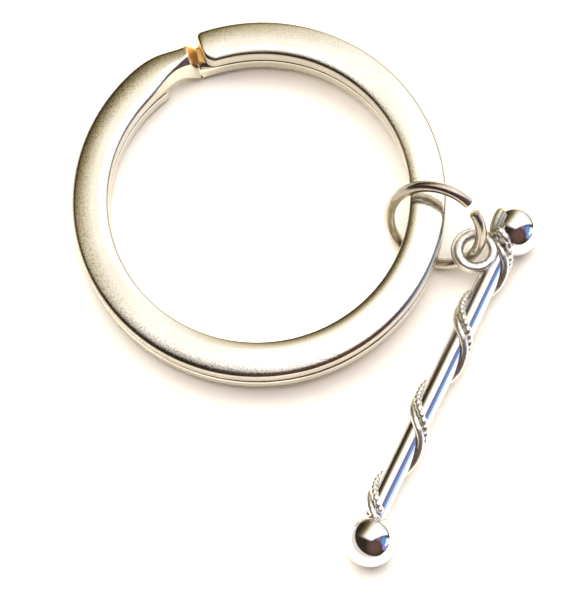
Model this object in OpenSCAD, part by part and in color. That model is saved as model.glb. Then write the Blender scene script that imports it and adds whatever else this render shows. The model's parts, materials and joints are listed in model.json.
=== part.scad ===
// Split key ring with a jump ring and a wire-wrapped bar charm.
// Millimetres, +Z up. The origin is the centre of the split ring, halfway through its thickness.

/* [Split ring] */
// outside diameter of the split ring
ring_outer_d = 30; // [28:0.5:32]
// width of the flat wire, measured along a radius
band_w = 2.9; // [2.6:0.1:3.1]
// thickness of one turn of the flat wire
turn_t = 1.6; // [1.4:0.05:1.7]
// gap between the two turns
turn_gap = 0.15; // [0.12:0.01:0.2]
// rounding of the wire's outer edges
outer_edge_r = 0.25; // [0.15:0.05:0.35]
// rounding of the wire's inner edges
inner_edge_r = 0.12; // [0.08:0.02:0.2]
// angle at which the free upper end stops
free_end_angle = 111.3; // [109:0.1:111.3]
// angle at which the free upper end starts to bend when it is lifted
spring_root_angle = 30; // [28:1:34]
// angle at which the lower turn ends
lower_end_angle = 127.5; // [126:0.5:128]
// corner rounding of the two free ends, seen from above
end_corner_r = 0.5; // [0.3:0.1:0.6]
// larger rounding of the free upper end's inner corner, seen from above
end_inner_r = 1.0; // [0.5:0.1:1.2]

/* [Step between the turns] */
// angle at which the stepped piece of wire starts
step_piece_start = 146; // [144:1:148]
// angle at which the stepped piece of wire stops
step_piece_stop = 98; // [96:1:100]
// angle at which the middle of the wire's top starts to go down
step_start_angle = 116.2; // [115.6:0.2:117]
// angle at which the middle of the wire's top has come down to the lower turn
step_stop_angle = 112.6; // [112.4:0.1:113]
// how much later the top goes down towards the outer wall, in degrees for each millimetre
step_skew = 0.9; // [0:0.1:1]
// angle at which the wire's underside starts to go down
step_under_start = 124; // [122:0.5:125]
// angle at which the wire's underside has come down to the lower turn
step_under_stop = 112.5; // [111.5:0.5:113]
// how far the top of the inner wall is pressed outward in the step
step_inner_pinch = 0.6; // [0.3:0.05:0.65]
// how far the foot of the inner wall is pressed outward in the step
step_foot_pinch = 0.25; // [0.1:0.05:0.3]
// how far the outer wall is pressed inward in the step
step_outer_pinch = 0.64; // [0.4:0.02:0.68]
// extra rounding of the top inner edge in the step
step_inner_round = 1.0; // [0.3:0.05:1]

/* [Jump ring] */
// radius of the jump ring to the middle of its wire
jump_mid_r = 3.82; // [3.8:0.02:3.86]
// wire diameter of the jump ring
jump_wire_d = 0.92; // [0.8:0.02:0.92]
// lean of the jump ring's plane away from horizontal
jump_lean = 57.33; // [57:0.1:58]
// heading of the jump ring's level diameter
jump_heading = -17.96; // [-19:0.1:-17]
// direction of the cut in the jump ring
jump_cut_angle = 48; // [44:1:52]
// opening of the cut, as an angle
jump_cut_span = 11; // [6:1:14]
// sideways offset between the two cut ends
jump_end_shift = 0.24; // [0:0.02:0.3]

/* [Bar charm] */
// diameter of the bar
bar_d = 1.8; // [1.7:0.05:1.9]
// distance between the ball centres along the bar
bar_l = 28.03; // [27.5:0.1:28.5]
// diameter of the end balls
ball_d = 4.2; // [4:0.1:4.3]
// sideways offset of the upper ball from the bar's axis
upper_ball_offset = 0.17; // [0:0.01:0.3]
// sideways offset of the lower ball from the bar's axis
lower_ball_offset = 0.58; // [0:0.01:0.6]
// heading of the bar, from the upper ball to the lower one
bar_heading = -114.75; // [-115:0.25:-114]
// slope of the bar, lower ball up
bar_rise = 0.79; // [0:0.1:1]

/* [Charm eye] */
// radius of the eye to the middle of its wire
eye_mid_r = 1.4; // [1.38:0.02:1.44]
// wire diameter of the eye
eye_wire_d = 0.84; // [0.74:0.02:0.84]
// distance of the eye from the upper ball's centre, along the bar
eye_along = 3.12; // [3:0.02:3.3]
// distance of the eye from the bar's axis
eye_out = 1.77; // [1.75:0.01:1.8]
// height of the eye above the bar's axis
eye_up = 0.78; // [0.7:0.02:0.8]
// radius of the thin outer strand round the eye
trim_mid_r = 1.72; // [1.66:0.02:1.76]
// thickness of the thin outer strand
trim_d = 0.42; // [0.3:0.02:0.44]

/* [Wrap] */
// thickness of each wrap strand
strand_d = 0.64; // [0.58:0.02:0.66]
// distance between the two strands along the bar
strand_spacing = 0.86; // [0.8:0.02:0.9]
// position of the first turn along the bar
wrap_start = 0.15; // [0.1:0.05:0.3]
// pitch of the wrap at its first turn
wrap_pitch = 6.52; // [6.4:0.02:6.6]
// how much the turns lengthen along the bar
wrap_stretch = 0.94; // [0.9:0.02:1]
// how much that lengthening fades again
wrap_ease = 0.16; // [0.14:0.01:0.18]
// how far, as an angle, the wrap lingers at the sides of the bar
wrap_sway = 8; // [0:1:10]
// thickness of the wrap's rounded head
head_d = 0.85; // [0.75:0.05:1]
// length of the wrap's rounded head
head_l = 2.3; // [2.1:0.1:2.4]
// angle of the head above the side of the bar
head_raise = 53; // [48:1:58]
// angle on the ball between its side and the middle of the head
head_lean = 10; // [6:1:14]
// length of one bead of the beaded strand
bead_l = 0.55; // [0.5:0.05:0.7]

/* [Hidden] */
$fn = 96;

ring_r = ring_outer_d/2;
hole_r = ring_r - band_w;
mid_r = ring_r - band_w/2;
ring_h = 2*turn_t + turn_gap;
upper_z = ring_h/2;
lower_z = upper_z - turn_t - turn_gap;
cut_margin = 1;
run_out = 0.03;
overlap = 0.01;

jump_centre = [14.1, -2.104, 0.382];
charm_origin = [20.26, -1.81, -1.545];
trim_shift = [-0.1, -0.16, -0.3];

step_pinch_angle = 122;
step_pinch_width = 9;
step_neck_angle = 116;
step_neck_width = 8.3;
step_round_angle = 115;
step_round_width = 5.5;
step_fine_from = 118;
step_fine_to = 111;
step_coarse_turn = 1.2;
step_fine_turn = 0.35;
corner_points = 4;
round_points = 8;

jump_sides = 14;
jump_stations = 60;
strand_sides = 10;
wrap_first_turn = 0.18;
wrap_last_turn = 3.32;
turn_step = 0.002;
smooth_stations = 110;
bead_steps = 4;
bead_waist = 0.74;
strand_sink = 0.2;
blend_power = 6;
cap_steps = 4;
cap_floor = 0.05;
head_steps = 16;
head_sink = 0.2;

steel = [0.86, 0.84, 0.78];
silver = [0.88, 0.88, 0.87];

// ---- shared shapes ----

// Solid lofted through a list of closed rings that all have the same number of points.
module loft(rings) {
    n = len(rings[0]);
    m = len(rings);
    points = [for (ring = rings) each ring];
    walls = [for (i = [0:m - 2], j = [0:n - 1])
        [i*n + j, i*n + (j + 1)%n, (i + 1)*n + (j + 1)%n, (i + 1)*n + j]];
    first = [for (j = [n - 1:-1:0]) j];
    last = [for (j = [0:n - 1]) (m - 1)*n + j];
    polyhedron(points = points, faces = concat([first], walls, [last]), convexity = 6);
}

// One ring of a round tube, square to the direction it runs in.
function tube_ring(centre, run, out, r, sides) =
    let (t = run/norm(run), b0 = cross(t, out), b = b0/norm(b0), a = cross(b, t))
    [for (k = [0:sides - 1]) centre + r*(cos(360*k/sides)*a + sin(360*k/sides)*b)];

// Rounding factor at a distance d from the end of a tube of radius r.
function cap_factor(d, r) = d >= r ? 1 : sqrt(max(0, 1 - pow(1 - d/r, 2)));

function bell(a, middle, width) = exp(-pow((a - middle)/width, 2));
function smooth_step(t) = t <= 0 ? 0 : t >= 1 ? 1 : t*t*(3 - 2*t);

// ---- split ring ----

// Cross-section of one turn: a flat wire with rounded edges, between z_bottom and z_bottom + turn_t.
module turn_section(z_bottom) {
    translate([0, z_bottom]) union() {
        translate([hole_r + inner_edge_r, 0]) square([band_w - inner_edge_r - outer_edge_r, turn_t]);
        translate([hole_r, inner_edge_r]) square([inner_edge_r + overlap, turn_t - 2*inner_edge_r]);
        translate([ring_r - outer_edge_r - overlap, outer_edge_r])
            square([outer_edge_r + overlap, turn_t - 2*outer_edge_r]);
        for (z = [inner_edge_r, turn_t - inner_edge_r])
            translate([hole_r + inner_edge_r, z]) circle(r = inner_edge_r);
        for (z = [outer_edge_r, turn_t - outer_edge_r])
            translate([ring_r - outer_edge_r, z]) circle(r = outer_edge_r);
    }
}

module turn_arc(z_bottom, from_angle, to_angle)
    rotate([0, 0, from_angle]) rotate_extrude(angle = to_angle - from_angle) turn_section(z_bottom);

// Waste to remove at one corner of a free end; side 1 is the outer corner and -1 the inner one.
// The rounding runs out just past each wall, so that it cuts the walls instead of touching them.
module corner_waste(end_angle, radius, side, corner_r, z_bottom)
    rotate([0, 0, end_angle])
        translate([radius - side*(corner_r - run_out), run_out - corner_r, z_bottom - cut_margin])
            difference() {
                translate([side > 0 ? 0 : -corner_r - cut_margin, 0, 0])
                    cube([corner_r + cut_margin, corner_r + cut_margin, turn_t + 2*cut_margin]);
                translate([0, 0, -cut_margin]) cylinder(r = corner_r, h = turn_t + 4*cut_margin);
            }

module lower_coil()
    color(steel) difference() {
        turn_arc(-upper_z, lower_end_angle - 360, step_piece_stop);
        corner_waste(lower_end_angle - 360, hole_r, -1, end_corner_r, -upper_z);
    }

module upper_coil() color(steel) turn_arc(upper_z - turn_t, step_piece_start - 360, spring_root_angle);

module coil_end()
    color(steel) difference() {
        turn_arc(upper_z - turn_t, spring_root_angle, free_end_angle);
        corner_waste(free_end_angle, ring_r, 1, end_corner_r, upper_z - turn_t);
        corner_waste(free_end_angle, hole_r, -1, end_inner_r, upper_z - turn_t);
    }

function step_inner(a, pinch) = hole_r + pinch*bell(a, step_pinch_angle, step_pinch_width);
function step_outer(a) = ring_r - step_outer_pinch*bell(a, step_neck_angle, step_neck_width);
function step_round(a) = inner_edge_r + step_inner_round*bell(a, step_round_angle, step_round_width);
function step_drop(a, start, stop) = (turn_t + turn_gap)*smooth_step((start - a)/(start - stop));

// Quarter-round corner points as [radius, height], round a centre and from one angle on.
function corner(r, z, edge, from, points) =
    [for (k = [0:points]) let (a = from + 90*k/points) [r + edge*cos(a), z + edge*sin(a)]];

// Cross-section of the stepped wire, whose upper points follow the skewed top and lower points the underside.
function step_ring(a) =
    let (r_top = step_inner(a, step_inner_pinch), r_foot = step_inner(a, step_foot_pinch),
         r_out = step_outer(a), round_r = step_round(a),
         upper = concat(
             corner(r_out - outer_edge_r, upper_z - outer_edge_r, outer_edge_r, 0, corner_points),
             corner(r_top + round_r, upper_z - round_r, round_r, 90, round_points)),
         under_z = upper_z - turn_t - step_drop(a, step_under_start, step_under_stop),
         lower = concat(
             corner(r_foot + inner_edge_r, under_z + inner_edge_r, inner_edge_r, 180, corner_points),
             corner(r_out - outer_edge_r, under_z + outer_edge_r, outer_edge_r, 270, corner_points)),
         sunk = [for (p = upper)
             let (late = step_skew*(p[0] - mid_r))
             [p[0], p[1] - step_drop(a + late, step_start_angle, step_stop_angle)]])
    [for (p = concat(sunk, lower)) [p[0]*cos(a), p[0]*sin(a), p[1]]];

// Angles from one to another, in equal steps no longer than a given turn, without the last one.
function stops_between(from_angle, to_angle, turn) =
    let (count = ceil((from_angle - to_angle)/turn))
    [for (i = [0:count - 1]) from_angle + (to_angle - from_angle)*i/count];

step_angles = concat(
    stops_between(step_piece_start, step_fine_from, step_coarse_turn),
    stops_between(step_fine_from, step_fine_to, step_fine_turn),
    stops_between(step_fine_to, step_piece_stop, step_coarse_turn), [step_piece_stop]);

module step_bend() color(steel) loft([for (a = step_angles) step_ring(a)]);

// ---- jump ring ----

function jump_ring_station(i) =
    let (u = i/jump_stations, a = jump_cut_angle + jump_cut_span/2 + (360 - jump_cut_span)*u,
         centre = [jump_mid_r*cos(a), jump_mid_r*sin(a), jump_end_shift*(u - 0.5)])
    tube_ring(centre, [-sin(a), cos(a), 0], [cos(a), sin(a), 0], jump_wire_d/2, jump_sides);

module jump_ring()
    color(silver) translate(jump_centre) rotate([jump_lean, 0, jump_heading])
        loft([for (i = [0:jump_stations]) jump_ring_station(i)]);

// ---- bar charm, built along +X from the upper ball and then laid in place ----

module laid() translate(charm_origin) rotate([0, -bar_rise, bar_heading]) children();

module charm_bar() color(silver) laid() rotate([0, 90, 0]) cylinder(d = bar_d, h = bar_l);
module upper_ball() color(silver) laid() translate([0, upper_ball_offset, 0]) sphere(d = ball_d);
module lower_ball() color(silver) laid() translate([bar_l, lower_ball_offset, 0]) sphere(d = ball_d);

module charm_eye()
    color(silver) laid() translate([eye_along, -eye_out, eye_up])
        rotate_extrude() translate([eye_mid_r, 0]) circle(d = eye_wire_d);

module eye_trim()
    color(silver) laid() translate([eye_along, -eye_out, eye_up] + trim_shift)
        rotate_extrude() translate([trim_mid_r, 0]) circle(d = trim_d);

// Position along the bar and direction round it after a number of turns, and the wrap's radius there.
function wrap_along(turns) =
    wrap_start + wrap_pitch*turns + wrap_stretch*turns*turns - wrap_ease*turns*turns*turns;
function wrap_angle(turns) = 180 - 360*turns + wrap_sway*sin(720*turns);
function wrap_radius(x) =
    let (over_ball = sqrt(max(0, pow(ball_d/2, 2) - x*x)), over_bar = bar_d/2)
    pow(pow(over_ball, blend_power) + pow(over_bar, blend_power), 1/blend_power) + strand_d/2 - strand_sink;
function wrap_out(turns) = [0, cos(wrap_angle(turns)), sin(wrap_angle(turns))];
function wrap_point(turns, shift) =
    let (x = wrap_along(turns) + shift)
    [x, 0, 0] + wrap_radius(x)*wrap_out(turns);

wrap_turns = wrap_last_turn - wrap_first_turn;
mean_pitch = (wrap_along(wrap_last_turn) - wrap_along(wrap_first_turn))/wrap_turns;
turn_length = norm([PI*(bar_d + strand_d), mean_pitch]);
wrap_length = turn_length*wrap_turns;

// Ring of a strand at a distance d from its start, with rounded ends and a thickness factor.
function strand_ring(d, shift, factor) =
    let (turns = wrap_first_turn + d/turn_length, r = strand_d/2,
         run = wrap_point(turns + turn_step, shift) - wrap_point(turns - turn_step, shift),
         cap = max(cap_floor, min(cap_factor(d, r), cap_factor(wrap_length - d, r))))
    tube_ring(wrap_point(turns, shift), run, wrap_out(turns), r*factor*cap, strand_sides);

// Distances along a strand: close together in the rounded ends, then in equal steps.
function strand_stops(count) =
    let (r = strand_d/2, first = [for (k = [0:cap_steps - 1]) r*(1 - cos(90*k/cap_steps))],
         last = [for (k = [cap_steps - 1:-1:0]) wrap_length - r*(1 - cos(90*k/cap_steps))])
    concat(first, [for (i = [0:count]) r + (wrap_length - 2*r)*i/count], last);

module wrap_smooth()
    color(silver) laid() loft([for (d = strand_stops(smooth_stations)) strand_ring(d, strand_spacing/2, 1)]);

bead_count = floor(wrap_length/bead_l);
function bead_factor(d) = bead_waist + (1 - bead_waist)*abs(sin(180*d/(wrap_length/bead_count)));

module wrap_beaded()
    color(silver) laid()
        loft([for (d = strand_stops(bead_count*bead_steps))
            strand_ring(d, -strand_spacing/2, bead_factor(d))]);

// Rounded head lying against the flank of the upper ball; u runs from -1 at one tip to 1 at the other.
function head_ring(u) =
    let (reach = ball_d/2 + head_d/2 - head_sink, a = head_lean + u*head_l/reach*90/PI,
         cap = max(cap_floor, cap_factor((1 - abs(u))*head_l/2, head_d/2)))
    tube_ring([reach*sin(a), -reach*cos(a), 0], [cos(a), sin(a), 0], [sin(a), -cos(a), 0], head_d/2*cap,
              strand_sides);

module wrap_head()
    color(silver) laid() translate([0, upper_ball_offset, 0]) rotate([-head_raise, 0, 0])
        loft([for (i = [0:head_steps]) head_ring(2*i/head_steps - 1)]);

lower_coil();
step_bend();
upper_coil();
coil_end();
jump_ring();
charm_bar();
upper_ball();
lower_ball();
charm_eye();
eye_trim();
wrap_smooth();
wrap_beaded();
wrap_head();
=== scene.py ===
import json
import math

import bpy
import numpy as np
from mathutils import Matrix, Vector


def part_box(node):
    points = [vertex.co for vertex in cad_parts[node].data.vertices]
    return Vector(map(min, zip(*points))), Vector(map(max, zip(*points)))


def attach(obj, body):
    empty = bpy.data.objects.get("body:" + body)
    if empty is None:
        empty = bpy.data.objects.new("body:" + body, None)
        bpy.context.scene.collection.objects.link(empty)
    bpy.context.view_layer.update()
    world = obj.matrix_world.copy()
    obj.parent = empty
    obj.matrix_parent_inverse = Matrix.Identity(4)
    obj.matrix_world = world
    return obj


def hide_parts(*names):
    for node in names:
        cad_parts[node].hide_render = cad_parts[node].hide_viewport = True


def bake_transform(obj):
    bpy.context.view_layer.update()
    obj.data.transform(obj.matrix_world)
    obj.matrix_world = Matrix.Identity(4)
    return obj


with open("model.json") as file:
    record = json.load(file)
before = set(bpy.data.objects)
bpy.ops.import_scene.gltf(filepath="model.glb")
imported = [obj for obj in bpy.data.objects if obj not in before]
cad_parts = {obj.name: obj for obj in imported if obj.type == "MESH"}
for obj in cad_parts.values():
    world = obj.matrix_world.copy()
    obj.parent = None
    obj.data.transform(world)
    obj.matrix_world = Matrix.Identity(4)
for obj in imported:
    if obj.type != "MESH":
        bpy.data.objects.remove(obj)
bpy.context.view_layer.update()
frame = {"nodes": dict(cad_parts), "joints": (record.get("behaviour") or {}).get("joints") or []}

# Lengths are in millimetres until a mesh is built; MM turns them into metres.

MM = 0.001
RNG = np.random.default_rng(11)


# ---------------------------------------------------------------- mesh helpers


def vertices_of(node):
    """A CAD node's vertices, in millimetres."""
    return np.array([v.co for v in frame["nodes"][node].data.vertices], float) / MM


def plane_of(points):
    """Centre and unit normal of the plane nearest to the points, the normal pointing up."""
    centre = (points.max(0) + points.min(0)) / 2
    normal = np.linalg.svd(points - points.mean(0), full_matrices=False)[2][2]
    return centre, normal * (1 if normal[2] > 0 else -1)


def unit(v):
    return np.asarray(v, float) / np.linalg.norm(v)


def loft(name, rings, closed=False, run=None, sharp=32):
    """A mesh through equal rings of points, in millimetres.

    Its UV map is in millimetres too: u along, v around. An open loft gets flat end caps.
    """
    rings = np.asarray(rings, float)
    m, n = rings.shape[:2]
    if run is None:
        mid = rings.mean(1)
        run = np.concatenate([[0], np.cumsum(np.linalg.norm(np.diff(mid, axis=0), axis=1))])
    girth = np.linalg.norm(np.diff(rings[m // 2], axis=0, append=rings[m // 2][:1]), axis=1)
    around = np.concatenate([[0], np.cumsum(girth)])
    faces, uvs = [], []
    for i in range(m if closed else m - 1):
        k = (i + 1) % m
        here, there = run[i], run[i + 1] if i + 1 < m else run[-1] + (run[1] - run[0])
        for j in range(n):
            after = (j + 1) % n
            faces.append((i * n + j, i * n + after, k * n + after, k * n + j))
            uvs += [(here, around[j]), (here, around[j + 1]), (there, around[j + 1]), (there, around[j])]
    if not closed:
        faces.append(tuple(range(n - 1, -1, -1)))
        uvs += [tuple(p) for p in flat_uv(rings[0][::-1])]
        faces.append(tuple((m - 1) * n + j for j in range(n)))
        uvs += [tuple(p) for p in flat_uv(rings[-1])]
    mesh = bpy.data.meshes.new(name)
    mesh.from_pydata([tuple(p * MM) for p in rings.reshape(-1, 3)], [], faces)
    layer = mesh.uv_layers.new(name="UVMap")
    layer.data.foreach_set("uv", np.array(uvs, np.float32).ravel())
    mesh.validate()
    mesh.polygons.foreach_set("use_smooth", [True] * len(mesh.polygons))
    mesh.set_sharp_from_angle(angle=math.radians(sharp))
    mesh.update()
    thing = bpy.data.objects.new(name, mesh)
    bpy.context.scene.collection.objects.link(thing)
    return thing


def flat_uv(ring):
    """Flat coordinates of an end cap's points."""
    c = ring.mean(0)
    a = unit(ring[0] - c)
    normal = unit(np.cross(ring[0] - c, ring[len(ring) // 4] - c))
    b = np.cross(normal, a)
    return np.stack([(ring - c) @ a, (ring - c) @ b], 1)


def tube_ring(centre, run, out, radius, sides):
    """One ring of a round tube square to run; radius may be an array, one value a side."""
    t = unit(run)
    b = unit(np.cross(t, out))
    a = np.cross(b, t)
    k = np.arange(sides) * 2 * np.pi / sides
    r = np.broadcast_to(radius, (sides,))[:, None]
    return centre + r * (np.cos(k)[:, None] * a + np.sin(k)[:, None] * b)


def round_cap(distance, radius):
    """Thickness factor of a rod with a hemispherical end, at a distance from that end."""
    if distance >= radius:
        return 1.0
    return max(0.04, math.sqrt(max(0.0, 1 - (1 - distance / radius) ** 2)))


def ripple(count, amount, waves):
    """A smooth seeded ripple of that many samples."""
    x = np.linspace(0, 1, count)
    total = np.zeros(count)
    for w in waves:
        total += np.sin(2 * np.pi * (w * x + RNG.random())) * RNG.uniform(0.4, 1.0)
    return amount * total / len(waves)


# ---------------------------------------------------------------- split ring

# The wire is followed by its unwound angle, which falls from the free upper end,
# over the upper turn, through the step and round the lower turn to the lower end.

lo, hi = (np.array(c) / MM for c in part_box("upper_coil"))
RING_R = -lo[0]
TOP_Z = hi[2]
TURN_T = hi[2] - lo[2]
LOWER_TOP = np.array(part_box("lower_coil")[1])[2] / MM
DROP = TOP_Z - LOWER_TOP
BAND_W = 2.9
HOLE_R = RING_R - BAND_W
MID_R = RING_R - BAND_W / 2
MM_PER_DEGREE = math.radians(1) * MID_R
TURN = 360

FREE_END = 111.3
LOWER_END = 127.5 - 2 * TURN
LIFT = next(j for j in frame["joints"] if j["name"] == "end_lift")
ROOT_ANGLE = math.degrees(math.atan2(LIFT["pos_m"][1], LIFT["pos_m"][0]))
SEAM = ROOT_ANGLE - 9

# The step: where the top and the underside go down, and how the walls are pressed in.
STEP_FROM, STEP_TO = 116.2 - TURN, 112.6 - TURN
UNDER_FROM, UNDER_TO = 124 - TURN, 112.5 - TURN
STEP_SKEW = 0.9
PINCH_AT, PINCH_WIDTH = 122 - TURN, 9
INNER_PINCH, FOOT_PINCH = 0.6, 0.25
NECK_AT, NECK_WIDTH, OUTER_PINCH = 116 - TURN, 8.3, 0.64
ROUND_AT, ROUND_WIDTH, EXTRA_ROUND = 115 - TURN, 5.5, 1.0

# The section: rounded edges and a face that falls away a little towards both walls.
EDGE_OUT, EDGE_DEEP, EDGE_IN = 0.45, 0.32, 0.18
SHOULDER_OUT, SHOULDER_IN = 1.65, 0.8
CROWN_OUT, CROWN_IN = 0.23, 0.16
SEAM_CROWN = 0.25
OUT_POINTS, FACE_POINTS, IN_POINTS, WALL_POINTS = 9, 18, 8, 6

# The ends: corner radii in plan, the rounding of the rim, and the sections near an end.
CORNER_R, INNER_CORNER_R, RIM = 0.5, 1.0, 0.22
END_STATIONS = (0.02, 0.06, 0.12, 0.21, 0.33, 0.48, 0.66, 0.86)
END_MARGIN = 0.3
FINE_FROM, FINE_TO, FINE_STATIONS, FINE_MARGIN = 118 - TURN, 111 - TURN, 45, 0.4


def bell(a, middle, width):
    return np.exp(-(((a - middle) / width) ** 2))


def smooth_step(t):
    t = min(max(t, 0.0), 1.0)
    return t * t * (3 - 2 * t)


def drop(a, start, stop):
    return DROP * smooth_step((start - a) / (start - stop))


def ring_walls(a):
    """Inner radius at the top and at the foot, outer radius, and rounding of the top inner edge."""
    pinch = bell(a, PINCH_AT, PINCH_WIDTH)
    inner = HOLE_R + INNER_PINCH * pinch
    foot = HOLE_R + FOOT_PINCH * pinch
    outer = RING_R - OUTER_PINCH * bell(a, NECK_AT, NECK_WIDTH)
    return inner, foot, outer, EDGE_IN + EXTRA_ROUND * bell(a, ROUND_AT, ROUND_WIDTH)


def half_outline(inner, outer, edge_in, crown):
    """The wire's upper half in section: outer edge, crowned face, inner edge, as (radius, depth).

    Each rounded edge starts at the slope with which the face ends, so no crease shows.
    """
    width = outer - inner
    tilt_out = crown * 2 * CROWN_OUT / SHOULDER_OUT * (1 - EDGE_OUT / 2 / SHOULDER_OUT)
    tilt_in = crown * 2 * CROWN_IN / SHOULDER_IN * (1 - min(1.0, edge_in / 2 / SHOULDER_IN))
    turn_out = math.atan2(EDGE_DEEP, EDGE_OUT * tilt_out)
    turn_in = math.pi / 2 + math.atan(tilt_in)
    first = EDGE_OUT * (1 - math.cos(turn_out))
    last = width - edge_in * (1 + math.cos(turn_in))
    d = np.linspace(first, last, FACE_POINTS)
    sag = CROWN_OUT * np.clip(1 - d / SHOULDER_OUT, 0, 1) ** 2
    sag = crown * (sag + CROWN_IN * np.clip(1 - (width - d) / SHOULDER_IN, 0, 1) ** 2)
    pts = []
    for k in np.linspace(0, turn_out, OUT_POINTS)[:-1]:
        height = EDGE_DEEP * (math.sin(k) - math.sin(turn_out))
        pts.append((outer - EDGE_OUT * (1 - math.cos(k)), height - sag[0]))
    pts += [(outer - x, -y) for x, y in zip(d, sag)]
    for k in np.linspace(turn_in, math.pi, IN_POINTS)[1:]:
        height = edge_in * (math.sin(k) - math.sin(turn_in))
        pts.append((inner + edge_in * (1 + math.cos(k)), height - sag[-1]))
    return pts


def wire_ring(a, trim_in, trim_out, sink):
    """Section of the flat wire at an unwound angle, as points in space.

    The trims cut into the inner and outer walls, and sink rounds both faces towards an end.
    """
    inner, foot, outer, edge_in = ring_walls(a)
    inner, foot, outer = inner + trim_in, foot + trim_in, outer - trim_out
    upper = smooth_step((a - STEP_TO) / (STEP_FROM - STEP_TO))
    top = half_outline(inner, outer, edge_in, SEAM_CROWN + (1 - SEAM_CROWN) * upper)
    top = [(r, TOP_Z + z - sink - drop(a + STEP_SKEW * (r - MID_R), STEP_FROM, STEP_TO)) for r, z in top]
    base = TOP_Z - TURN_T - drop(a, UNDER_FROM, UNDER_TO)
    low = half_outline(foot, outer, EDGE_IN, 1 - (1 - SEAM_CROWN) * upper)
    low = [(r, base - z + sink) for r, z in reversed(low)]
    share = np.linspace(0, 1, WALL_POINTS)[1:-1, None]
    side_in = np.array(top[-1]) * (1 - share) + np.array(low[0]) * share
    side_out = np.array(low[-1]) * (1 - share) + np.array(top[0]) * share
    outline = np.concatenate([top, side_in, low, side_out])
    t = math.radians(a)
    r, z = outline[:, 0], outline[:, 1]
    return np.stack([r * math.cos(t), r * math.sin(t), z], 1)


def end_trim(distance, radius):
    """How far a corner of that radius cuts into a wall, at a distance from the end."""
    if distance >= radius:
        return 0.0
    return radius - math.sqrt(max(0.0, radius**2 - (radius - distance) ** 2))


def wire_stations(start, stop, round_start, round_stop):
    """Unwound angles of the sections: a degree apart, closer in the step and at a rounded end."""
    count = math.ceil(start - stop)
    angles = [start + (stop - start) * i / count for i in range(count + 1)]
    if start > FINE_FROM > FINE_TO > stop:
        before = [a for a in angles if a > FINE_FROM + FINE_MARGIN]
        beyond = [a for a in angles if a < FINE_TO - FINE_MARGIN]
        angles = before + list(np.linspace(FINE_FROM, FINE_TO, FINE_STATIONS)) + beyond
    near = [0.0] + [x / MM_PER_DEGREE for x in END_STATIONS]
    clear = near[-1] + END_MARGIN
    if round_start:
        angles = [start - x for x in near] + [a for a in angles if a < start - clear]
    if round_stop:
        angles = [a for a in angles if a > stop + clear] + [stop + x for x in reversed(near)]
    return angles


def wire_piece(name, start, stop, round_start=False, round_stop=False):
    """The wire between two unwound angles, start above stop, rounded where an end is free."""
    angles = wire_stations(start, stop, round_start, round_stop)
    rings = []
    for a in angles:
        from_start = (start - a) * MM_PER_DEGREE if round_start else math.inf
        from_stop = (a - stop) * MM_PER_DEGREE if round_stop else math.inf
        rings.append(
            wire_ring(
                a,
                trim_in=max(end_trim(from_start, INNER_CORNER_R), end_trim(from_stop, CORNER_R)),
                trim_out=end_trim(from_start, CORNER_R),
                sink=max(end_trim(from_start, RIM), end_trim(from_stop, RIM)),
            )
        )
    run = [(start - a) * MM_PER_DEGREE for a in angles]
    return loft(name, rings, run=np.array(run), sharp=40)


ring_wire = wire_piece("ring_wire", SEAM, LOWER_END, round_stop=True)
spring_wire = wire_piece("spring_wire", FREE_END, SEAM, round_start=True)

# ---------------------------------------------------------------- jump ring

JUMP_HEADING = math.radians(-17.96)
JUMP_LEAN = math.radians(57.33)
JUMP_CENTRE = np.array([14.1, -2.104, 0.382])
JUMP_R, JUMP_WIRE = 3.82, 0.456
JUMP_CUT, JUMP_SPAN, JUMP_SHIFT = 48.0, 11.0, 0.24
JUMP_SIDES, JUMP_STATIONS = 28, 181
JUMP_FRAME = np.array(Matrix.Rotation(JUMP_HEADING, 3, "Z") @ Matrix.Rotation(JUMP_LEAN, 3, "X"))
# Rounding of a cut end: (thickness factor, distance in from the end).
CUT_END = ((0.86, 0.0), (0.95, 0.03), (0.998, 0.08))


def jump_ring_station(u, scale=1.0, push=0.0):
    """Section of the open ring at a share u of the way from one cut end to the other."""
    a = math.radians(JUMP_CUT + JUMP_SPAN / 2 + (TURN - JUMP_SPAN) * u)
    out = np.array([math.cos(a), math.sin(a), 0])
    run = np.array([-math.sin(a), math.cos(a), 0])
    centre = JUMP_R * out + np.array([0, 0, JUMP_SHIFT * (u - 0.5)])
    ring = tube_ring(centre, run, out, JUMP_WIRE * scale, JUMP_SIDES) + push * run
    return ring @ JUMP_FRAME.T + JUMP_CENTRE


jump_rings = [jump_ring_station(0, scale, push) for scale, push in CUT_END]
jump_rings += [jump_ring_station(u) for u in np.linspace(0, 1, JUMP_STATIONS)[1:-1]]
jump_rings += [jump_ring_station(1, scale, -push) for scale, push in reversed(CUT_END)]
jump_wire = loft("jump_wire", jump_rings, sharp=40)

# ---------------------------------------------------------------- bar and balls


def ball_centre(node):
    """Centre and radius of a CAD ball, from its box."""
    low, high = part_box(node)
    return np.array((low + high) / 2) / MM, (high - low).length / math.sqrt(12) / MM


UPPER, BALL_R = ball_centre("upper_ball")
LOWER, _ = ball_centre("lower_ball")
bar_points = vertices_of("charm_bar")
bar_axis = unit(np.linalg.svd(bar_points - bar_points.mean(0), full_matrices=False)[2][0])
if bar_axis @ (LOWER - UPPER) < 0:
    bar_axis = -bar_axis
bar_mid = (bar_points.max(0) + bar_points.min(0)) / 2
along = (bar_points - bar_mid) @ bar_axis
BAR_L = along.max() - along.min()
BAR_TOP = bar_mid - bar_axis * BAR_L / 2
BAR_X = bar_axis
BAR_Y = unit(np.cross([0, 0, 1], BAR_X))
BAR_Z = np.cross(BAR_X, BAR_Y)
BAR_R = np.linalg.norm(np.cross(bar_points - BAR_TOP, BAR_X), axis=1).max()
BAR_FRAME = np.stack([BAR_X, BAR_Y, BAR_Z], 1)

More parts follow.
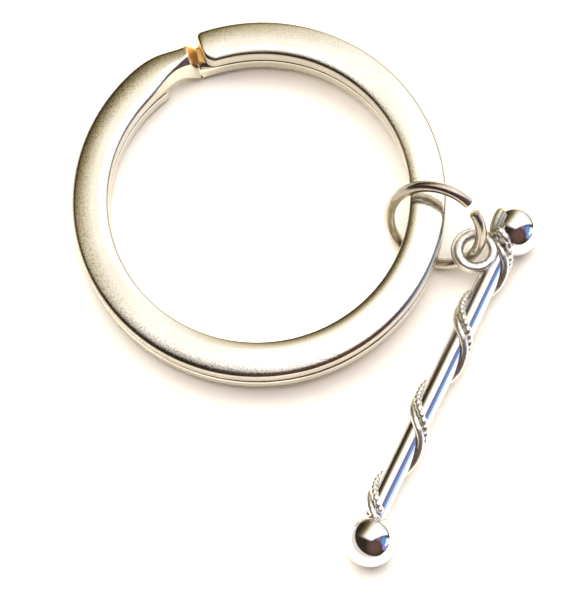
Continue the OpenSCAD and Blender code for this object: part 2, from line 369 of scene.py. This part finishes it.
BALL_STATIONS, BALL_SIDES, BALL_DENT = 48, 72, 0.006
BAR_STATIONS, BAR_SIDES, BAR_INSET = 121, 48, 0.02
BAR_SWAY_Y, BAR_SWAY_Z, BAR_STILL = 0.012, 0.009, 12


def lay(points):
    """From the bar's own frame, +X along the bar from the upper ball, to the row frame."""
    return np.asarray(points, float) @ BAR_FRAME.T + BAR_TOP


def unlay(points):
    return (np.asarray(points, float) - BAR_TOP) @ BAR_FRAME


def ball(name, centre):
    """A ball lofted pole to pole along the bar, with a faint hand-finished unevenness."""
    local = unlay(centre)
    k = np.arange(BALL_SIDES) * 2 * np.pi / BALL_SIDES
    phase = RNG.random(6) * 2 * np.pi
    rings = []
    for t in np.linspace(0, np.pi, BALL_STATIONS + 1)[1:-1]:
        wave = sum(math.sin(3 * t + phase[i]) * np.sin((i + 1) * k + phase[i + 3]) for i in range(3)) / 3
        radius = BALL_R * (1 - BALL_DENT * (0.5 + 0.5 * wave) * math.sin(t))
        across = math.sin(t) * radius
        ring = np.stack([-math.cos(t) * radius, across * np.cos(k), across * np.sin(k)], 1)
        rings.append(lay(ring + local))
    return loft(name, rings, sharp=60)


def bar():
    """The bar, very slightly wavy between its ends."""
    sway_y = ripple(BAR_STATIONS, BAR_SWAY_Y, (1.5, 3, 5))
    sway_z = ripple(BAR_STATIONS, BAR_SWAY_Z, (2, 4, 7))
    rings = []
    for i, x in enumerate(np.linspace(0, BAR_L, BAR_STATIONS)):
        keep = min(1.0, min(i, BAR_STATIONS - 1 - i) / BAR_STILL)
        centre = np.array([x, sway_y[i] * keep, sway_z[i] * keep])
        rings.append(lay(tube_ring(centre, [1, 0, 0], [0, 1, 0], BAR_R - BAR_INSET, BAR_SIDES)))
    return loft("bar_rod", rings, sharp=40)


ball_upper = ball("ball_upper", UPPER)
ball_lower = ball("ball_lower", LOWER)
bar_rod = bar()

# ---------------------------------------------------------------- eye and its outer strand


def hoop(name, node, wire, sides, stations, lump, power=2.0):
    """A ring of wire at the place of its CAD node; a power above 2 squares the wire's section."""
    points = vertices_of(node)
    centre, normal = plane_of(points)
    a = unit(np.cross(normal, BAR_X))
    b = np.cross(normal, a)
    off_plane = np.outer((points - centre) @ normal, normal)
    mid = np.linalg.norm((points - centre) - off_plane, axis=1).max() - wire / 2
    bump = ripple(stations, lump, (3, 7, 13, 21))
    bump = bump - bump.max()
    k = np.arange(sides) * 2 * np.pi / sides
    shape = (np.abs(np.cos(k)) ** power + np.abs(np.sin(k)) ** power) ** (-1 / power)
    rings = []
    for i in range(stations):
        t = 2 * math.pi * i / stations
        out = math.cos(t) * a + math.sin(t) * b
        run = -math.sin(t) * a + math.cos(t) * b
        rings.append(tube_ring(centre + mid * out, run, out, wire / 2 * (1 + bump[i]) * shape, sides))
    return loft(name, rings, closed=True, sharp=60)


eye_loop = hoop("eye_loop", "charm_eye", wire=0.84, sides=28, stations=120, lump=0.02, power=2.8)
eye_strand = hoop("eye_strand", "eye_trim", wire=0.42, sides=14, stations=160, lump=0.1)

# ---------------------------------------------------------------- wrap

STRAND_D, SPACING, SINK = 0.64, 0.86, 0.2
# Distance along the bar after a number of turns: start, pitch, stretch and ease of a cubic.
WRAP = (0.15, 6.52, 0.94, -0.16)
SWAY = math.radians(8)
FIRST_TURN, LAST_TURN = 0.18, 3.32
TURN_STEP = 0.002
BALL_BLEND = 6
STRAND_SIDES, CAP_STATIONS, SMOOTH_STATIONS, BEAD_STATIONS = 18, 6, 360, 12
BEAD_L, BEAD_WAIST = 0.55, 0.66


def wrap_along(turns):
    return sum(c * turns**i for i, c in enumerate(WRAP))


def wrap_out(turns):
    a = math.pi - 2 * math.pi * turns + SWAY * math.sin(4 * math.pi * turns)
    return np.array([0, math.cos(a), math.sin(a)])


def wrap_point(turns, shift):
    """Middle of a strand, which lies on the bar and climbs the upper ball where they meet."""
    x = wrap_along(turns) + shift
    over_ball = math.sqrt(max(0.0, BALL_R**2 - x * x))
    under = (over_ball**BALL_BLEND + BAR_R**BALL_BLEND) ** (1 / BALL_BLEND)
    return np.array([x, 0, 0]) + (under + STRAND_D / 2 - SINK) * wrap_out(turns)


MEAN_PITCH = (wrap_along(LAST_TURN) - wrap_along(FIRST_TURN)) / (LAST_TURN - FIRST_TURN)
TURN_L = math.hypot(math.pi * (2 * BAR_R + STRAND_D), MEAN_PITCH)
WRAP_L = TURN_L * (LAST_TURN - FIRST_TURN)
BEADS = int(WRAP_L / BEAD_L)


def strand(name, shift, count, shape, lump):
    """A wound strand with round ends; shape(d) is its thickness factor at a distance d along it."""
    r = STRAND_D / 2
    cap = [r * (1 - math.cos(math.radians(90 * k / CAP_STATIONS))) for k in range(CAP_STATIONS)]
    stops = cap + list(np.linspace(r, WRAP_L - r, count)) + [WRAP_L - s for s in reversed(cap)]
    wobble = ripple(len(stops), lump, (5, 11, 23, 37))
    rings = []
    for i, d in enumerate(stops):
        turns = FIRST_TURN + d / TURN_L
        run = wrap_point(turns + TURN_STEP, shift) - wrap_point(turns - TURN_STEP, shift)
        factor = shape(d) * (1 + wobble[i] - lump) * round_cap(min(d, WRAP_L - d), r)
        ring = tube_ring(wrap_point(turns, shift), run, wrap_out(turns), r * factor, STRAND_SIDES)
        rings.append(lay(ring))
    return loft(name, rings, sharp=60)


def bead_shape(d):
    u = abs(math.sin(math.pi * d / (WRAP_L / BEADS)))
    return BEAD_WAIST + (1 - BEAD_WAIST) * math.sqrt(u)


strand_smooth = strand("strand_smooth", SPACING / 2, SMOOTH_STATIONS, lambda d: 1.0, lump=0.03)
strand_beaded = strand("strand_beaded", -SPACING / 2, BEADS * BEAD_STATIONS, bead_shape, lump=0.04)

HEAD_D, HEAD_L, HEAD_SINK = 0.85, 2.3, 0.2
HEAD_RAISE, HEAD_LEAN = math.radians(53), math.radians(10)
HEAD_STATIONS, HEAD_SIDES, HEAD_LUMP = 41, 22, 0.03


def head():
    """The wrap's rounded head: a short rod that follows the flank of the upper ball."""
    reach = BALL_R + HEAD_D / 2 - HEAD_SINK
    raised = np.array(Matrix.Rotation(-HEAD_RAISE, 3, "X"))
    level = np.array([0, unlay(UPPER)[1], 0])
    wave = ripple(HEAD_STATIONS, HEAD_LUMP, (2, 5, 9))
    rings = []
    for i, u in enumerate(np.sin(np.linspace(-math.pi / 2, math.pi / 2, HEAD_STATIONS))):
        a = HEAD_LEAN + u * HEAD_L / 2 / reach
        out = np.array([math.sin(a), -math.cos(a), 0])
        cap = round_cap((1 - abs(u)) * HEAD_L / 2, HEAD_D / 2)
        radius = HEAD_D / 2 * cap * (1 + wave[i] - HEAD_LUMP)
        ring = tube_ring(reach * out, [math.cos(a), math.sin(a), 0], out, radius, HEAD_SIDES)
        rings.append(lay(ring @ raised.T + level))
    return loft("wrap_end", rings, sharp=60)


wrap_end = head()

# ---------------------------------------------------------------- materials


class Nodes:
    """Short hand for building a node material."""

    def __init__(self, name):
        self.material = bpy.data.materials.new(name)
        self.material.use_nodes = True
        self.tree = self.material.node_tree
        self.shader = self.tree.nodes["Principled BSDF"]
        self.coords = self.new("ShaderNodeTexCoord")

    def new(self, kind, **settings):
        node = self.tree.nodes.new(kind)
        for key, value in settings.items():
            setattr(node, key, value)
        return node

    def link(self, a, b):
        self.tree.links.new(a, b)

    def mapping(self, source, scale=(1, 1, 1), rotation=(0, 0, 0)):
        node = self.new("ShaderNodeMapping")
        node.inputs["Scale"].default_value = scale
        node.inputs["Rotation"].default_value = rotation
        self.link(self.coords.outputs[source], node.inputs["Vector"])
        return node.outputs["Vector"]

    def noise(self, vector, scale, detail=3.0, rough=0.5):
        node = self.new("ShaderNodeTexNoise")
        for key, value in (("Scale", scale), ("Detail", detail), ("Roughness", rough)):
            node.inputs[key].default_value = value
        self.link(vector, node.inputs["Vector"])
        return node.outputs["Fac"]

    def remap(self, value, a, b, c, d):
        """c at a and d at b, straight between them and level beyond."""
        node = self.new("ShaderNodeMapRange")
        for key, x in zip(("From Min", "From Max", "To Min", "To Max"), (a, b, c, d)):
            node.inputs[key].default_value = x
        self.link(value, node.inputs["Value"])
        return node.outputs["Result"]

    def math(self, kind, a, b=0.0):
        node = self.new("ShaderNodeMath", operation=kind)
        for slot, x in zip(node.inputs, (a, b)):
            if isinstance(x, (int, float)):
                slot.default_value = x
            else:
                self.link(x, slot)
        return node.outputs["Value"]

    def times(self, *values):
        total = values[0]
        for value in values[1:]:
            total = self.math("MULTIPLY", total, value)
        return total

    def mix(self, factor, a, b):
        """a where the factor is 0 and b where it is 1; each is a colour or a socket."""
        node = self.new("ShaderNodeMix", data_type="RGBA")
        self.link(factor, node.inputs["Factor"])
        colours = [socket for socket in node.inputs if socket.type == "RGBA"]
        for socket, x in zip(colours, (a, b)):
            if isinstance(x, tuple):
                socket.default_value = (*x, 1)
            else:
                self.link(x, socket)
        return next(socket for socket in node.outputs if socket.type == "RGBA")

    def bump(self, height, distance, normal=None):
        """A bump of that height in millimetres."""
        node = self.new("ShaderNodeBump")
        node.inputs["Strength"].default_value = 1.0
        node.inputs["Distance"].default_value = distance * MM
        self.link(height, node.inputs["Height"])
        if normal is not None:
            self.link(normal, node.inputs["Normal"])
        return node.outputs["Normal"]

    def split(self, vector):
        node = self.new("ShaderNodeSeparateXYZ")
        self.link(vector, node.inputs["Vector"])
        return tuple(node.outputs[k] for k in "XYZ")

    def span(self, value, a, b, c, d):
        """remap for a place on the object, with a and b in millimetres."""
        return self.remap(value, a * MM, b * MM, c, d)


# Scratches: cycles a metre along X, Y and Z, their turn, and where the noise starts and is full.
SCRATCHES = (
    ((260, 5200, 900), 0.5, 0.60, 0.75),
    ((4600, 300, 900), -0.25, 0.62, 0.76),
)
# Cycles a metre of the wandering tone and dents, and of a cast surface's crumples.
WIDE_NOISE, CRUMPLE_NOISE = 260, 1500
# Cycles a millimetre, along the wire and round it, of the lines left by drawing it.
DRAWN_LINES = (0.25, 9, 1)
# Turn of the step's face, the brass colour painted on it as a gold reflection, and how much rougher it
# is there.
FACE_ANGLE = 113.6
GLINT_BRASS_COLOUR = (0.98, 0.70, 0.30)
GLINT_ROUGHER = 0.3
# Colour of the split ring's dark specks and of its painted edge shade, and how strongly it is mixed in.
SPECK_AND_SHADE_COLOUR = (0.24, 0.20, 0.12)
SPECK_AND_SHADE_SHARE = 0.8


def painted_glint_patch(n):
    """1 on the face of the step, where a gold reflection is painted in brass colour, and 0 elsewhere."""
    turned = n.mapping("Object", rotation=(0, 0, math.radians(-FACE_ANGLE)))
    out, side, z = n.split(turned)
    along = n.span(n.math("ABSOLUTE", side), 0.62, 0.8, 1, 0)
    height = n.times(n.span(z, 1.5, 1.68, 1, 0), n.span(z, -0.4, -0.2, 0, 1))
    return n.times(along, height, n.span(out, 12.7, 13.0, 0, 1))


def specks_and_painted_shade(n, fine):
    """Dark specks in the ring's plating, and a painted dark line of edge shade along both edges of its
    face.

    The specks are thick where the wire's face tilts to -X, towards the dark side of the room, so they
    carry painted shade there: on its outer half on the left of the ring, and along its inner edge on the
    right.
    """
    x, y, z = n.split(n.coords.outputs["Object"])
    flat = n.new("ShaderNodeCombineXYZ")
    n.link(x, flat.inputs["X"])
    n.link(y, flat.inputs["Y"])
    length = n.new("ShaderNodeVectorMath", operation="LENGTH")
    n.link(flat.outputs["Vector"], length.inputs[0])
    radius = length.outputs["Value"]
    rightward = n.math("ADD", x, n.times(y, 0.35))
    # Painted shade: specks thickest where the face tilts to -X towards the dark side of the room.
    outer = n.times(n.span(radius, 13.4, 14.5, 0, 1), n.span(rightward, 4, -8, 0.25, 1))
    inner = n.times(n.span(radius, 12.75, 12.25, 0, 1), n.span(rightward, 3, 10, 0, 1))
    specks = n.times(n.math("MAXIMUM", outer, inner), n.remap(fine, 0.50, 0.40, 0, 1))
    specks = n.times(specks, n.span(z, 1.1, 1.35, 0.25, 1))
    # Painted edge shade: thin dark lines along the inner and outer edges of the face.
    line_in = n.span(radius, 12.28, 12.18, 0, 0.85)
    line_out = n.span(radius, 14.78, 14.90, 0, 0.85)
    lines = n.times(n.math("MAXIMUM", line_in, line_out), n.span(z, 1.25, 1.42, 0, 1))
    return n.math("MAXIMUM", specks, lines)


def metal(
    name,
    bright,
    dull,
    rough,
    grain,
    dents,
    pores=3600,
    scratched=0.5,
    speck=0.0,
    crumple=0.0,
    streaks=0.0,
    specks_and_painted_light=False,
):
    """Plated metal: two tones that wander, roughness that varies, fine scratches and shallow dents.

    rough is (low, high). grain, dents, crumple and streaks are bump heights in millimetres: of the
    pores and scratches, of wide dents, of a cast surface, and of drawn lines along the wire. pores
    sets how fine the grain is, scratched how deep the scratches are in it, and speck how dark its
    pores are. The split ring's flag adds its dark specks with painted shade, painted dark edge lines
    and a painted gold reflection on the step, made a little rougher there.
    """
    n = Nodes(name)
    n.shader.inputs["Metallic"].default_value = 1.0
    wide = n.noise(n.mapping("Object"), WIDE_NOISE, 2.0)
    fine = n.noise(n.mapping("Object"), pores, 4.0, 0.7)
    lines = []
    for scale, turn, low, high in SCRATCHES:
        drawn = n.noise(n.mapping("Object", scale, (0, 0, turn)), 1.0, 2.0)
        lines.append(n.remap(drawn, low, high, 0, 1))
    scratch = n.math("MAXIMUM", *lines)
    tone = n.math("ADD", n.times(wide, 0.6), n.times(fine, 0.4))
    colour = n.mix(n.remap(tone, 0.38, 0.62, 0, 1), dull, bright)
    if speck:
        spots = n.remap(fine, 0.34, 0.44, speck, 0.0)
        colour = n.mix(spots, colour, tuple(0.45 * c for c in dull))
    level = n.math("ADD", n.times(fine, 0.6), n.times(scratch, 0.4))
    level = n.remap(level, 0.2, 0.8, *rough)
    if specks_and_painted_light:
        # Dark specks with painted shade, and painted dark edge lines.
        colour = n.mix(n.times(specks_and_painted_shade(n, fine), SPECK_AND_SHADE_SHARE), colour, SPECK_AND_SHADE_COLOUR)
        # Painted gold reflection on the step's face, a little rougher there.
        glint = painted_glint_patch(n)
        colour = n.mix(glint, colour, GLINT_BRASS_COLOUR)
        level = n.math("ADD", level, n.times(glint, GLINT_ROUGHER))
    n.link(colour, n.shader.inputs["Base Color"])
    n.link(level, n.shader.inputs["Roughness"])
    normal = n.bump(wide, dents)
    normal = n.bump(n.math("SUBTRACT", fine, n.times(scratch, scratched)), grain, normal)
    if crumple:
        normal = n.bump(n.noise(n.mapping("Object"), CRUMPLE_NOISE, 2.0), crumple, normal)
    if streaks:
        normal = n.bump(n.noise(n.mapping("UV", DRAWN_LINES), 1.0, 3.0), streaks, normal)
    n.link(normal, n.shader.inputs["Normal"])
    return n.material


ring_metal = metal(
    "satin_nickel",
    bright=(0.74, 0.69, 0.59),
    dull=(0.66, 0.60, 0.49),
    rough=(0.10, 0.26),
    grain=0.004,
    dents=0.01,
    pores=7000,
    # Dark specks with painted shade, painted edge lines and a painted gold reflection on the step.
    specks_and_painted_light=True,
)
jump_metal = metal(
    "bright_wire",
    bright=(0.62, 0.57, 0.48),
    dull=(0.42, 0.36, 0.28),
    rough=(0.16, 0.32),
    grain=0.0008,
    dents=0.004,
    streaks=0.004,
)
bar_metal = metal(
    "mirror_silver",
    bright=(0.83, 0.80, 0.78),
    dull=(0.77, 0.74, 0.72),
    rough=(0.06, 0.14),
    grain=0.0006,
    dents=0.012,
)
cast_metal = metal(
    "cast_silver",
    bright=(0.94, 0.92, 0.86),
    dull=(0.80, 0.76, 0.65),
    rough=(0.28, 0.46),
    grain=0.003,
    dents=0.02,
    scratched=0.0,
    speck=0.5,
    crumple=0.08,
)
head_metal = metal(
    "cast_head",
    bright=(0.86, 0.82, 0.68),
    dull=(0.60, 0.55, 0.40),
    rough=(0.38, 0.55),
    grain=0.006,
    dents=0.01,
    pores=5000,
    scratched=0.0,
    speck=0.6,
)

# ---------------------------------------------------------------- pieces and their bodies

for thing, body, material, slot, nodes in (
    (ring_wire, "split_ring", ring_metal, "ring_metal", ("lower_coil", "step_bend", "upper_coil")),
    (spring_wire, None, ring_metal, "ring_metal", ("coil_end",)),
    (jump_wire, "link", jump_metal, "jump_wire", ("jump_ring",)),
    (bar_rod, "charm", bar_metal, "charm_silver", ("charm_bar",)),
    (ball_upper, "charm", bar_metal, "charm_silver", ("upper_ball",)),
    (ball_lower, "charm", bar_metal, "charm_silver", ("lower_ball",)),
    (eye_loop, "charm", cast_metal, "cast_silver", ("charm_eye",)),
    (eye_strand, "charm", cast_metal, "cast_silver", ("eye_trim",)),
    (strand_smooth, "charm", cast_metal, "cast_silver", ("wrap_smooth",)),
    (strand_beaded, "charm", cast_metal, "cast_silver", ("wrap_beaded",)),
    (wrap_end, "charm", head_metal, "cast_silver", ("wrap_head",)),
):
    thing.data.materials.append(material)
    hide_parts(*nodes)
    if body:
        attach(thing, body)

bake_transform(spring_wire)

# ---------------------------------------------------------------- floor

# The paper leans a little against the row frame: the ring lies on it at the edge away from the
# charm and is tipped up on the charm's side.
LEAN_DIR = math.radians(-10)
LEAN = 0.056106
FLOOR_HALF = 1.5
FLOOR_QUADS = 2
PAPER_DARK, PAPER_LIGHT = (0.87, 0.81, 0.715), (0.89, 0.83, 0.735)

uphill = Vector((math.cos(LEAN_DIR), math.sin(LEAN_DIR), 0))
floor_normal = (uphill * LEAN + Vector((0, 0, 1))).normalized()
touch = -uphill * RING_R * MM + Vector((0, 0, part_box("lower_coil")[0].z))


def paper_sheet():
    """A flat square grid on the plane that the object touches."""
    side = np.linspace(-FLOOR_HALF, FLOOR_HALF, FLOOR_QUADS + 1)
    row = FLOOR_QUADS + 1
    grid = [(x, y, 0) for y in side for x in side]
    corners = [j * row + i for j in range(FLOOR_QUADS) for i in range(FLOOR_QUADS)]
    mesh = bpy.data.meshes.new("floor")
    mesh.from_pydata(grid, [], [(c, c + 1, c + row + 1, c + row) for c in corners])
    sheet = bpy.data.objects.new("floor", mesh)
    bpy.context.scene.collection.objects.link(sheet)
    turn = floor_normal.to_track_quat("Z", "Y").to_matrix().to_4x4()
    sheet.matrix_world = Matrix.Translation(touch) @ turn
    return sheet


def paper():
    n = Nodes("paper")
    tone = n.remap(n.noise(n.mapping("Object"), 60, 4.0), 0.3, 0.7, 0, 1)
    n.link(n.mix(tone, PAPER_DARK, PAPER_LIGHT), n.shader.inputs["Base Color"])
    n.shader.inputs["Roughness"].default_value = 0.9
    n.shader.inputs["Specular IOR Level"].default_value = 0.1
    return n.material


floor = paper_sheet()
floor.data.materials.append(paper())

# ---------------------------------------------------------------- light

# The room round the object: an overhead panel with soft edges, which the metal reflects as its
# light faces, a blue window low on the right, a reddish wall on the camera's side, and a white
# band just above the paper, which is higher on the left.


class Sky(Nodes):
    """The same short hand for the world's node tree. Colours may be brighter than 1."""

    PEAK = 2.6

    def __init__(self):
        world = bpy.data.worlds.new("studio")
        bpy.context.scene.world = world
        world.use_nodes = True
        self.tree = world.node_tree
        for node in list(self.tree.nodes):
            self.tree.nodes.remove(node)
        self.coords = self.new("ShaderNodeTexCoord")

    def dot(self, vector):
        """Dot product of the direction looked in and a vector."""
        node = self.new("ShaderNodeVectorMath", operation="DOT_PRODUCT")
        self.link(self.coords.outputs["Generated"], node.inputs[0])
        node.inputs[1].default_value = vector
        return node.outputs["Value"]

    def lobe(self, direction, inner, outer):
        """1 within inner degrees of a direction, fading to 0 at outer degrees."""
        far, near = math.cos(math.radians(outer)), math.cos(math.radians(inner))
        return self.remap(self.dot(unit(direction)), far, near, 0, 1)

    def edge(self, a, b):
        """How far a direction's east and north parts lie to the left of the line from a to b."""
        run = unit(np.subtract(b, a))
        inward = (-run[1], run[0], 0)
        return self.math("SUBTRACT", self.dot(inward), float(np.dot(inward[:2], a)))

    def dim(self, colour):
        return tuple(c / self.PEAK for c in colour)

    def ramp(self, value, stops):
        """Colour against a value: stops are (value, red, green, blue)."""
        low, high = stops[0][0], stops[-1][0]
        node = self.new("ShaderNodeValToRGB")
        self.link(self.remap(value, low, high, 0, 1), node.inputs["Fac"])
        elements = node.color_ramp.elements
        while len(elements) < len(stops):
            elements.new(0.5)
        for element, stop in zip(elements, stops):
            element.position = (stop[0] - low) / (high - low)
        for element, stop in zip(elements, stops):
            element.color = (*self.dim(stop[1:]), 1)
        return node.outputs["Color"]

    def panel_mask(self, sides):
        """1 inside the panel and 0 outside, with soft edges and rounded corners."""
        total = 0.0
        for a, b, fade in sides:
            short = self.math("SUBTRACT", PANEL_MARGIN, self.edge(a, b))
            short = self.times(self.math("MAXIMUM", short, 0.0), 1 / fade)
            total = self.math("ADD", self.times(short, short), total)
        inside = self.remap(self.math("SQRT", total), 0, 1, 1, 0)
        return self.times(inside, self.remap(self.dot((0, 0, 1)), 0.0, 0.15, 0, 1))

    def finish(self, colour):
        back = self.new("ShaderNodeBackground")
        back.inputs["Strength"].default_value = self.PEAK
        self.link(colour, back.inputs["Color"])
        out = self.new("ShaderNodeOutputWorld")
        self.link(back.outputs["Background"], out.inputs["Surface"])


def compass(azimuth, elevation):
    """Azimuth 0 is +X (right), 90 is +Y (away from the camera)."""
    a, e = math.radians(azimuth), math.radians(elevation)
    return (math.cos(a) * math.cos(e), math.sin(a) * math.cos(e), math.sin(e))


# The panel's corners, as the east and north parts of a direction, and the glow across it from
# its far left side.
PANEL_W, PANEL_S, PANEL_E, PANEL_N = (-0.44, 0.10), (0.16, -0.18), (0.93, 0.30), (0.25, 0.95)
PANEL_MARGIN = 0.06
PANEL_SIDES = ((PANEL_W, PANEL_S, 0.20), (PANEL_S, PANEL_E, 0.12), (PANEL_E, PANEL_N, 0.34))
PANEL_GLOW = (
    (-0.44, 0.04, 0.03, 0.02),
    (-0.25, 0.16, 0.13, 0.07),
    (-0.135, 0.48, 0.41, 0.25),
    (-0.04, 0.95, 0.90, 0.72),
    (0.10, 1.36, 1.34, 1.28),
    (0.23, 1.9, 1.95, 2.1),
)
ROOM = (0.045, 0.033, 0.025)
BLUE_SKY, PALE_SKY = (0.20, 0.42, 0.90), (0.34, 0.40, 0.84)
# Soft round patches: (direction, full within degrees, gone at degrees, colour).
PATCHES = (
    (compass(-60, 45), 14, 42, (0.18, 0.10, 0.09)),
    (compass(-2, 50), 6, 14, (0.26, 0.22, 0.40)),
    (compass(-8, 24), 10, 20, BLUE_SKY),
    (compass(-25, 11), 8, 15, PALE_SKY),
    (compass(-16, 10), 3, 8, (1.3, 1.5, 1.8)),
    (compass(-3, 6), 7, 13, (1.2, 1.35, 1.6)),
)
FAR_GLOW = (compass(85, 12), 20, 75, (0.42, 0.36, 0.20))
# The white band lies where the dot product with this vector is below 0.
BAND_SLOPE, BAND_COLOUR = (0.4045, 0.162, 1.0), (1.0, 0.95, 0.90)

sky = Sky()
panel = sky.ramp(sky.edge(PANEL_N, PANEL_W), PANEL_GLOW)
inside = sky.panel_mask(PANEL_SIDES)
direction, full, gone, tint = FAR_GLOW
colour = sky.mix(sky.lobe(direction, full, gone), sky.dim(ROOM), sky.dim(tint))
for direction, full, gone, tint in PATCHES:
    colour = sky.mix(sky.lobe(direction, full, gone), colour, sky.dim(tint))
colour = sky.mix(inside, colour, panel)
band = sky.remap(sky.dot(BAND_SLOPE), -0.02, 0.04, 1, 0)
sky.finish(sky.mix(band, colour, sky.dim(BAND_COLOUR)))

# A lamp that lights the paper and casts the shadows; the metal doesn't reflect it.
LAMP_SIZE, LAMP_POWER, LAMP_DISTANCE = 1.5, 24.0, 0.9
lamp = bpy.data.lights.new("key", "AREA")
lamp.shape = "DISK"
lamp.size = LAMP_SIZE
lamp.energy = LAMP_POWER
lamp.color = (1.0, 1.0, 1.0)
key = bpy.data.objects.new("key", lamp)
bpy.context.scene.collection.objects.link(key)
aim = Vector(compass(105, 66))
key.location = aim * LAMP_DISTANCE
key.visible_glossy = False
key.rotation_mode = "QUATERNION"
key.rotation_quaternion = aim.to_track_quat("Z", "Y")

# ---------------------------------------------------------------- camera

SENSOR, LENS = 36, 210.7023
CAMERA_AT = Vector((15.283, -87.765, 265.073 + TOP_Z)) * MM
look = Vector((-0.0471, 0.2858, -0.9571)).normalized()
upward = Vector((0, 0.9582, 0.2861))
right = look.cross(upward).normalized()
upward = right.cross(look)

cam_data = bpy.data.cameras.new("camera")
cam_data.sensor_width = SENSOR
cam_data.lens = LENS
cam_data.clip_start, cam_data.clip_end = 0.01, 10
cam = bpy.data.objects.new("camera", cam_data)
bpy.context.scene.collection.objects.link(cam)
bpy.context.scene.camera = cam
cam.matrix_world = Matrix.Translation(CAMERA_AT) @ Matrix((right, upward, -look)).transposed().to_4x4()

bpy.context.scene.view_settings.view_transform = "Standard"
